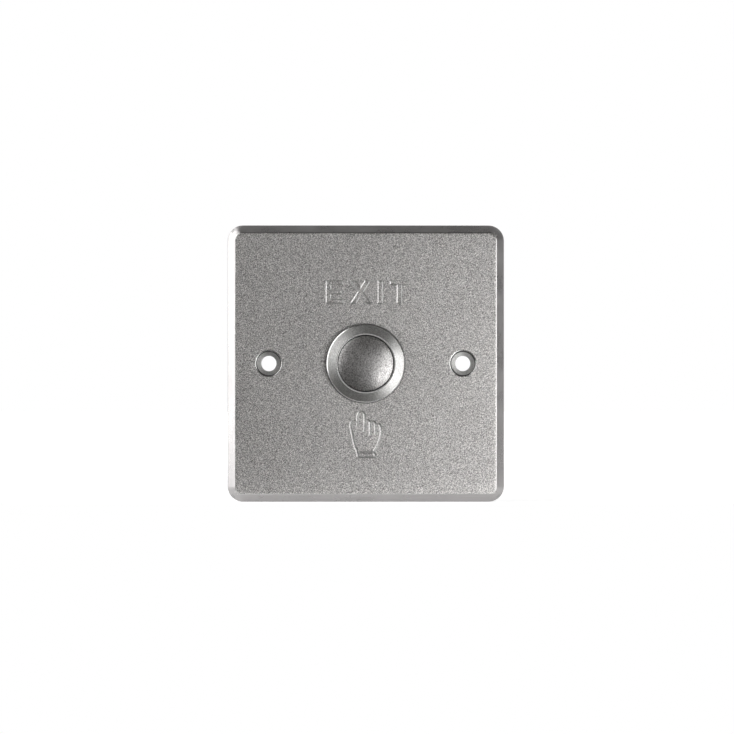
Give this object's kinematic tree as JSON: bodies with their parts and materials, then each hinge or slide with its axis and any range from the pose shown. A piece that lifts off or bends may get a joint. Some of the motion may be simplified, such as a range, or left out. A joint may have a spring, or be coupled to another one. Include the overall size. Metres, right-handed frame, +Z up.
{
  "type": "door exit button",
  "caption": "Square bevelled metal wall plate with a domed round push button that closes a sprung contact inside the switch behind it.",
  "frame": {"origin": "middle of the plate, in the plane of the wall, half way between the two screw holes", "axes": "+X to the right and +Z up as a person facing the wall sees it; +Y points into the wall, so the button faces -Y and is pressed along +Y"},
  "size_m": [0.086, 0.0291, 0.086],
  "materials": {
    "cast_zinc": "zinc casting, sand-blasted front, satin nickel plated",
    "turned_brass": "turned, satin nickel plated",
    "steel": "bright zinc plated",
    "black_rubber": "matte",
    "white_plastic": "moulded, satin",
    "black_plastic": "moulded, satin",
    "spring_steel": "drawn wire",
    "copper_alloy": "stamped strip",
    "silver": "silver contact alloy",
    "bare_brass": "stamped strip"
  },
  "bodies": {
    "mounted": {"face_plate": "cast_zinc", "switch_housing": "turned_brass", "flange_gasket": "black_rubber", "lock_washer": "steel", "mounting_nut": "turned_brass", "return_spring": "spring_steel", "contact_spring": "spring_steel", "contact_base": "black_plastic", "no_fixed_tip": "silver", "no_terminal": "bare_brass", "no_clamp": "steel", "no_screw": "steel", "com_fixed_tip": "silver", "com_terminal": "bare_brass", "com_clamp": "steel", "com_screw": "steel"},
    "button": {"button_cap": "turned_brass", "cap_seal": "black_rubber", "plunger": "white_plastic", "retaining_clip": "spring_steel"},
    "bridge": {"contact_bridge": "copper_alloy", "no_bridge_tip": "silver", "com_bridge_tip": "silver"}
  },
  "joints": [
    {"name": "button_press", "type": "slide", "parent": "mounted", "child": "button", "axis": [0, 1, 0], "range_m": [0, 0.0025], "stiffness_N_per_m": 1200, "springref_m": -0.0017, "deforming": ["return_spring"]},
    {"name": "bridge_slide", "type": "slide", "parent": "mounted", "child": "bridge", "axis": [0, 1, 0], "range_m": [0, 0.0015], "deforming": ["contact_spring"]}
  ],
  "couplings": [
    {"joint": "bridge_slide", "follows": "button_press", "ratio": 0.6}
  ]
}
